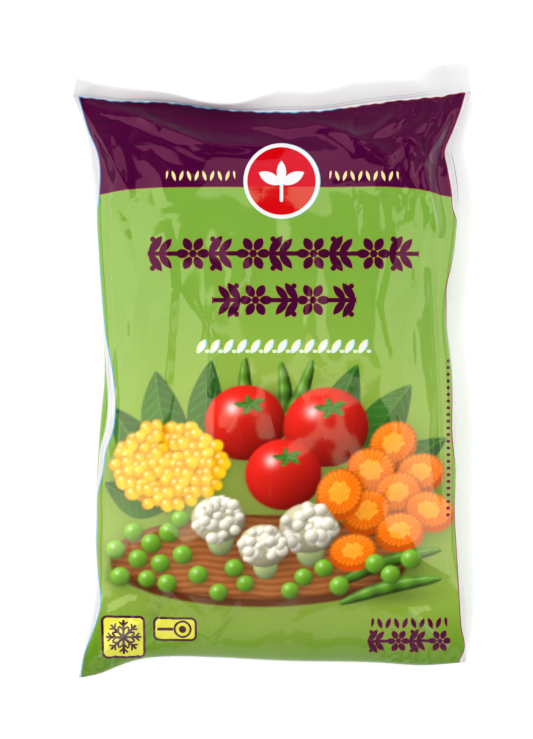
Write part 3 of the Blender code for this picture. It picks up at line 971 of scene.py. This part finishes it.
class Number:
    """A number that a material works out at each point, put together with Python's own signs."""

    def __init__(self, nodes, socket):
        self.nodes, self.socket = nodes, socket

    def combine(self, operation, *others):
        inputs = dict(enumerate((self, *others)))
        return Number(self.nodes, self.nodes.add("ShaderNodeMath", inputs, operation=operation))

    def __add__(self, other):
        return self.combine("ADD", other)

    def __sub__(self, other):
        return self.combine("SUBTRACT", other)

    def __rsub__(self, other):
        return self.combine("MULTIPLY_ADD", -1.0, other)

    def __mul__(self, other):
        return self.combine("MULTIPLY", other)

    def __abs__(self):
        return self.combine("ABSOLUTE")

    def clipped(self):
        return self.combine("MAXIMUM", 0.0).combine("MINIMUM", 1.0)


# Print shapes as distances to their edges: positive inside, in millimetres
def far(x, y):
    return x.combine("MULTIPLY_ADD", x, y * y).combine("SQRT")


def union(first, *others):
    for other in others:
        first = first.combine("MAXIMUM", other)
    return first


def common(first, *others):
    for other in others:
        first = first.combine("MINIMUM", other)
    return first


def disc(x, y, centre, radius):
    return radius - far(x - centre[0], y - centre[1])


def bar(x, y, start, end, half):
    """A straight bar with round ends."""
    run = np.array(end, float) - start
    along = ((x - start[0]) * (run[0] / (run @ run)) + (y - start[1]) * (run[1] / (run @ run))).clipped()
    return half - far(x - start[0] - along * run[0], y - start[1] - along * run[1])


def almond(x, y, start, end, width):
    """A pointed leaf between two points: what two equal circles share."""
    run = np.array(end, float) - start
    length = math.hypot(*run)
    radius = (length**2 + width**2) / (4 * width)
    middle = np.array(start) + run / 2
    aside = np.array((-run[1], run[0])) / length * (radius - width / 2)
    return common(*(disc(x, y, middle + sign * aside, radius) for sign in (-1, 1)))


def box(x, y, centre, halves, rounding):
    over_x, over_y = (abs(v - c) - (h - rounding) for v, c, h in zip((x, y), centre, halves))
    outside = far(over_x.combine("MAXIMUM", 0.0), over_y.combine("MAXIMUM", 0.0))
    return rounding - outside - common(union(over_x, over_y), 0.0)


def star_fold(x, y, arms):
    """A place turned into the first of some arms round (0, 0), where only one arm is drawn."""
    sector = 2 * math.pi / arms
    turn = (y.combine("ARCTAN2", x) + sector / 2).combine("FLOORED_MODULO", sector) - sector / 2
    reach = far(x, y)
    return reach * turn.combine("COSINE"), reach * abs(turn.combine("SINE"))


def garland(x, y, centre, length, height, motifs, way):
    """A stem on which pairs of leaves and flowers take turns, growing the way that is given."""
    pitch = length / motifs
    along = (x - (centre[0] - way * length / 2)) * way
    up = abs(y - centre[1])
    cell = along.combine("FLOORED_MODULO", 2 * pitch)
    leaves = union(
        almond(cell, up, (0.04 * pitch, 0), (0.46 * pitch, 0.5 * height), 0.27 * pitch),
        almond(cell, up, (0.38 * pitch, 0), (0.78 * pitch, 0.42 * height), 0.24 * pitch),
    )
    berry = disc(cell, up, (0.16 * pitch, 0.42 * height), 0.08 * pitch)
    in_flower = star_fold(cell - 1.5 * pitch, up, 6)
    petal = almond(*in_flower, (0.12 * height, 0), (0.5 * height, 0), 0.24 * height)
    heart = disc(cell, up, (1.5 * pitch, 0), 0.10 * height)
    stem = common(0.055 * height - up, abs(cell - 1.5 * pitch) - 0.2 * height)
    return common(union(stem, leaves, berry, petal, heart), along, length - along)


def beads(x, y, centre, length, count):
    """A row of small leaves with dots between them."""
    pitch = length / count
    along = x - (centre[0] - length / 2)
    cell = along.combine("FLOORED_MODULO", pitch)
    leaf = almond(cell, y - centre[1], (0.14 * pitch, -3.1), (0.72 * pitch, 3.1), 0.44 * pitch)
    dot = disc(cell, y - centre[1], (0.86 * pitch, -2.2), 0.12 * pitch)
    return common(union(leaf, dot), along, length - along)


def tag_row(x, y, centre, length, count, width):
    """A row of slim leaves that lean to either side in turn."""
    pitch = length / count
    along = x - (centre[0] - length / 2)
    cell = (along + pitch / 2).combine("PINGPONG", pitch)
    leaf = almond(cell, y - centre[1], (0.28 * pitch, -2.3), (0.72 * pitch, 2.3), width)
    return common(leaf, along, length - along)


def snowflake(x, y, centre, reach):
    """Eight arms, each with two pairs of branches."""
    p, q = star_fold(x - centre[0], y - centre[1], 8)
    branches = (bar(p, q, (at * reach, 0), ((at + 0.2) * reach, 0.22 * reach), 0.45) for at in (0.45, 0.72))
    return union(bar(p, q, (0, 0), (reach, 0), 0.6), *branches)


def pan(x, y, centre):
    """A frying pan seen from above."""
    cx, cy = centre
    outer, inner = (disc(x, y, (cx + 3.4, cy), radius) for radius in (4.1, 1.7))
    return union(common(outer, 1.0 - outer), inner, bar(x, y, (cx - 7.4, cy), (cx - 1.4, cy), 0.7))


def sprout(x, y, centre, size):
    """A stem with two big leaves and a bud."""
    aside, up = abs(x - centre[0]), y - centre[1]
    return union(
        bar(aside, up, (0, -0.62 * size), (0, -0.1 * size), 0.75),
        almond(aside, up, (0, -0.1 * size), (0.72 * size, 0.28 * size), 0.36 * size),
        almond(aside, up, (0, -0.1 * size), (0, 0.66 * size), 0.30 * size),
    )


def side_dots(x, y, place, lowest, pitch, count):
    """A line of dots up the side."""
    up = y - lowest
    dot = disc(x, up.combine("FLOORED_MODULO", pitch), (place, pitch / 2), 0.62)
    return common(dot, up, pitch * count - up)


def facets(nodes):
    """The height of film that is crumpled into flat facets, each tilted its own way."""
    place = nodes.add("ShaderNodeTexCoord", output="Object")
    place = nodes.add("ShaderNodeMapping", {"Vector": place, "Scale": FACET_SCALE})
    cells = nodes.add("ShaderNodeTexVoronoi", {"Vector": place, "Scale": 1.0}, output="Color").node
    tilt, off = (
        nodes.add("ShaderNodeVectorMath", {0: first, 1: second}, operation="SUBTRACT")
        for first, second in ((cells.outputs["Color"], (0.5, 0.5, 0.5)), (place, cells.outputs["Position"]))
    )
    rise = nodes.add("ShaderNodeVectorMath", {0: tilt, 1: off}, output="Value", operation="DOT_PRODUCT")
    return Number(nodes, rise)


def finish_film(nodes, colour, dark_ink):
    """What all of the film shares: painted shade in the valleys of the dark ink, a painted highlight along
    ridges elsewhere, and gloss that is a little smudged, over fine unevenness.
    """
    sharpness = nodes.number("sharpness")
    in_ink = Number(nodes, dark_ink)
    # painted shade: the dark ink is darkened in the valleys of creases
    colour = nodes.over(colour, VALLEY_SHADE, ((-VALLEY_SHADE_FROM - sharpness) * VALLEY_SHADE_SHARE * in_ink).clipped())
    # painted highlight: the film is whitened along sharp ridges, outside the dark ink
    colour = nodes.over(colour, WHITE, ((sharpness - RIDGE_HIGHLIGHT_FROM) * RIDGE_HIGHLIGHT_SHARE * (1.0 - in_ink)).clipped())
    smudges = {"Value": nodes.noise(*SMUDGES), "To Min": GLOSS_FROM, "To Max": GLOSS_TO}
    height = nodes.noise(*DENTS) + nodes.noise(*GRAIN) * GRAIN_SHARE + facets(nodes) * FACET_SLOPE
    bump = {"Height": height, "Strength": BUMP_STRENGTH, "Distance": BUMP_DEPTH * MM}
    nodes.set(
        Base_Color=colour,
        Roughness=nodes.add("ShaderNodeMapRange", smudges),
        Specular_Tint=nodes.over(GREEN_GLOSS, PURPLE_GLOSS, dark_ink),
        Normal=nodes.add("ShaderNodeBump", bump),
        IOR=FILM_IOR,
    )
    return nodes.owner


def front_material():
    """The printed front, whose fields are laid over each other from the back."""
    nodes = Nodes(bpy.data.materials.new("printed_film"))
    x, y, band = (nodes.number(name) for name in ("plan_x", "plan_y", "band"))
    colour = nodes.add("ShaderNodeAttribute", output="Color", attribute_name="print_colour")

    def lay(ink, shape, edge=0.0):
        nonlocal colour
        colour = nodes.over(colour, ink, nodes.inside(shape, edge))

    lay(CRIMSON, band, -BAND_FRINGE)
    lay(DARK_PURPLE, band)
    creases = Number(nodes, nodes.inside(nodes.number("band_creases"), 0.0, 0.2)) * BAND_CREASE_SHARE
    colour = nodes.over(colour, BAND_CREASE_SHADE, creases)
    garlands = (garland(x, y, *row) for row in (*TITLE_ROWS, WEIGHT_MARK))
    marks = union(*garlands, tag_row(x, y, *WEIGHT_ROW), side_dots(x, y, *SIDE_DOTS))
    lay(CRIMSON, marks, -MARK_FRINGE)
    lay(TITLE_PURPLE, marks)
    for ink, shift in ((CYAN_TINT, SUBTITLE_FRINGE), (YELLOW_TINT, -SUBTITLE_FRINGE), (WHITE, 0.0)):
        lay(ink, beads(x - shift, y, *SUBTITLE))
    lay(CREAM, union(*(tag_row(x, y, *row) for row in TAG_ROWS)))
    badge = disc(x, y, BADGE_CENTRE, BADGE_RADIUS)
    shift, spread = BADGE_FRINGE
    lay(CYAN_TINT, disc(x - shift, y, BADGE_CENTRE, BADGE_RADIUS + spread))
    lay(WHITE, badge)
    lay(BADGE_RED, badge, BADGE_RIM)
    lay(WHITE, sprout(x, y, BADGE_CENTRE, SPROUT_SIZE))
    icons = union(*(box(x, y, *icon, ICON_ROUNDING) for icon in (FREEZER_ICON, PAN_ICON)))
    lay(TITLE_PURPLE, icons)
    lay(ICON_YELLOW, icons, ICON_RIM)
    lay(TITLE_PURPLE, union(snowflake(x, y, FREEZER_ICON[0], SNOWFLAKE_REACH), pan(x, y, PAN_ICON[0])))
    area = nodes.number("print_area")
    blank = unprinted(nodes)
    fringe = common(area + FRINGE_SEEN, FRINGE_ON_FILM - STRIPE_WIDTH - nodes.number("back_print"))
    blank = nodes.over(blank, nodes.over(CYAN, CRIMSON, nodes.inside(x, CRIMSON_FROM)), nodes.inside(fringe))
    dark_ink = nodes.inside(union(band, marks))
    return finish_film(nodes, nodes.over(blank, colour, nodes.inside(area)), dark_ink)


def unprinted(nodes):
    """The white film, with painted light on the top seal and painted shade in its grooves and along the
    strips' fold, and the print of the back where that comes round.
    """
    seal = nodes.number("seal_share")
    white = nodes.over(STRIP_GREY, STRIP_WHITE, nodes.noise(*STRIP_NOISE))
    # painted light on the top seal: lighter where it stands steep and misses light
    painted_light_seal_white = nodes.over(SEAL_STEEP_PAINTED_LIGHT, SEAL_FLAT_PAINTED_LIGHT, nodes.number("seal_painted_light"))
    white = nodes.over(white, painted_light_seal_white, nodes.inside(seal))
    # painted shade: grey lines where the seal has grooves
    shaded_grooves = GROOVE_HALF_WIDTH - abs(abs(seal - GROOVES_AT) - GROOVES_APART)
    white = nodes.over(white, GROOVE_SHADE, nodes.inside(shaded_grooves, 0.0, 0.02))
    print_colour = nodes.over(GREEN, DARK_PURPLE, nodes.inside(nodes.number("band")))
    back_print = nodes.number("back_print")
    # painted shade: a grey line along the fold in the unprinted strip
    strip_fold_shade = STRIP_FOLD_HALF_WIDTH - abs(back_print + STRIP_FOLD_AT * STRIPE_WIDTH)
    white = nodes.over(white, STRIP_FOLD_SHADE, nodes.inside(strip_fold_shade, 0.0, 0.1))
    return nodes.over(white, print_colour, nodes.inside(back_print))


def back_material():
    """The plain back: green with the purple band round it, and the lap of the long seam."""
    nodes = Nodes(bpy.data.materials.new("printed_film_back"))
    aside, in_band = nodes.number("plan_x"), nodes.inside(nodes.number("band"))
    lap = Number(nodes, nodes.inside(LAP_HALF_WIDTH - abs(aside)))
    colour = nodes.over(unprinted(nodes), LAP_LIGHT, lap * LAP_SHARE)
    colour = nodes.over(colour, LAP_EDGE, nodes.inside(0.25 - abs(aside - LAP_HALF_WIDTH), 0.0, 0.15))
    return finish_film(nodes, colour, in_band)


# Camera: straight over the bag, framed as the photograph is
IMAGE_HEIGHT = 739
PIXEL = 0.45  # millimetres, at the height of the bag's edges
VIEW_CENTRE = (-2.5, 0.7)
CAMERA_HEIGHT = 2200.0
EDGE_HEIGHT = 12.0
SENSOR = 24.0


def make_camera():
    data = bpy.data.cameras.new("camera")
    data.sensor_fit = "VERTICAL"
    data.sensor_height = SENSOR
    data.lens = SENSOR * (CAMERA_HEIGHT - EDGE_HEIGHT) / (IMAGE_HEIGHT * PIXEL)
    camera = bpy.data.objects.new("camera", data)
    camera.location = Vector((*VIEW_CENTRE, CAMERA_HEIGHT)) * MM
    bpy.context.scene.collection.objects.link(camera)
    bpy.context.scene.camera = camera


# Studio: softboxes as (distance, way round from +X, angle from overhead, (width, height), strength)
SOFTBOXES = {
    "left_softbox": (1.6, 174, 48, (1.5, 1.75), 4.0),
    "right_softbox": (1.6, 9, 52, (1.4, 1.36), 3.5),
    "strip_softbox": (1.6, 0, 8, (0.16, 1.2), 2.6),
    "far_softbox": (1.6, 82, 45, (0.9, 0.5), 3.2),
    "near_softbox": (1.8, 270, 70, (2.2, 0.7), 1.1),
}
FLOOR_HALF, FLOOR_GREY, FLOOR_ROUGHNESS = 3.0, 0.96, 0.9
OVERHEAD, ALL_ROUND = 0.05, 0.75  # the light of the dark ceiling and of the white walls
WALL_TOP, CEILING = 0.50, 0.85  # where the walls begin to darken and where the ceiling is reached


def add_softbox(name, distance, way_round, from_overhead, size, strength):
    """A rectangular lamp that faces the bag, as bright all over as its strength says."""
    way_round, from_overhead = math.radians(way_round), math.radians(from_overhead)
    out = math.sin(from_overhead)
    place = Vector((out * math.cos(way_round), out * math.sin(way_round), math.cos(from_overhead)))
    data = bpy.data.lights.new(name, "AREA")
    data.shape = "RECTANGLE"
    data.size, data.size_y = size
    data.energy = strength * math.pi * size[0] * size[1]
    lamp = bpy.data.objects.new(name, data)
    lamp.location = place * distance
    lamp.rotation_euler = (-place).to_track_quat("-Z", "Y").to_euler()
    bpy.context.scene.collection.objects.link(lamp)


def make_studio():
    corners = np.array([(-1, -1, 0), (1, -1, 0), (1, 1, 0), (-1, 1, 0)]) * FLOOR_HALF
    floor = bpy.data.objects.new("floor", make_mesh("floor", corners, np.array([[0, 1, 2, 3]])))
    bpy.context.scene.collection.objects.link(floor)
    nodes = Nodes(bpy.data.materials.new("floor"))
    nodes.set(Base_Color=(FLOOR_GREY, FLOOR_GREY, FLOOR_GREY, 1), Roughness=FLOOR_ROUGHNESS)
    floor.data.materials.append(nodes.owner)
    nodes = Nodes(bpy.data.worlds.new("studio"), "Background")
    way = nodes.add("ShaderNodeTexCoord", output="Generated")
    height = nodes.add("ShaderNodeSeparateXYZ", {0: way}, output="Z")
    fade = {"From Min": WALL_TOP, "From Max": CEILING, "To Min": ALL_ROUND, "To Max": OVERHEAD}
    light = nodes.add("ShaderNodeMapRange", {"Value": height, **fade}, interpolation_type="SMOOTHSTEP")
    nodes.set(Color=(1, 1, 1, 1), Strength=light)
    bpy.context.scene.world = nodes.owner
    for name, softbox in SOFTBOXES.items():
        add_softbox(name, *softbox)
    bpy.context.scene.view_settings.view_transform = "Standard"


def past_strips(front, back):
    """How far round each panel's points are past the unprinted strips, measured on the film."""
    x, y = front.seen()
    share = front.film_place[0][0]
    left_at = [np.interp(0, row, share) for row in x - curve_through(LEFT_PRINT_EDGE, y)]
    right_at = [np.interp(0, row, share) for row in x - curve_through(RIGHT_PRINT_EDGE, y)]
    left_at, right_at = np.array(left_at)[:, None], np.array(right_at)[:, None]
    beyond = 2 * FLAT_HALF_WIDTH * np.maximum(left_at - share, share - right_at)
    share = back.film_place[0][0]
    on_back = 2 * FLAT_HALF_WIDTH * np.minimum(left_at + share, 2 - right_at - share)
    return beyond - STRIPE_WIDTH, on_back - STRIPE_WIDTH


def make_bag():
    """The film's two panels, and what their meshes carry for the print."""
    front, back = make_panels()
    front.build(front_material())
    back.build(back_material())
    x, y = front.plan
    for name, distance in carried_fields(x, y, *front.seen()).items():
        front.mark(name, front.with_seals(distance, OUTSIDE))
    for panel, distance in zip((front, back), past_strips(front, back)):
        panel.mark("back_print", panel.with_seals(distance, OUTSIDE))
        panel.mark("sharpness", panel.sharpness())
        panel.mark("seal_share", panel.seal_share())
        panel.mark("seal_painted_light", panel.seal_painted_light())
    front.paint("print_colour", front.with_seals(printed_colours(x, y), SEAL_INK))
    x, y = back.plan
    back.mark("band", back.with_seals(y - curve_through(BAND_LINE, x), OUTSIDE))
    back.mark("plan_x", back.with_seals(x, 2 * LAP_HALF_WIDTH))


make_camera()
make_bag()
make_studio()
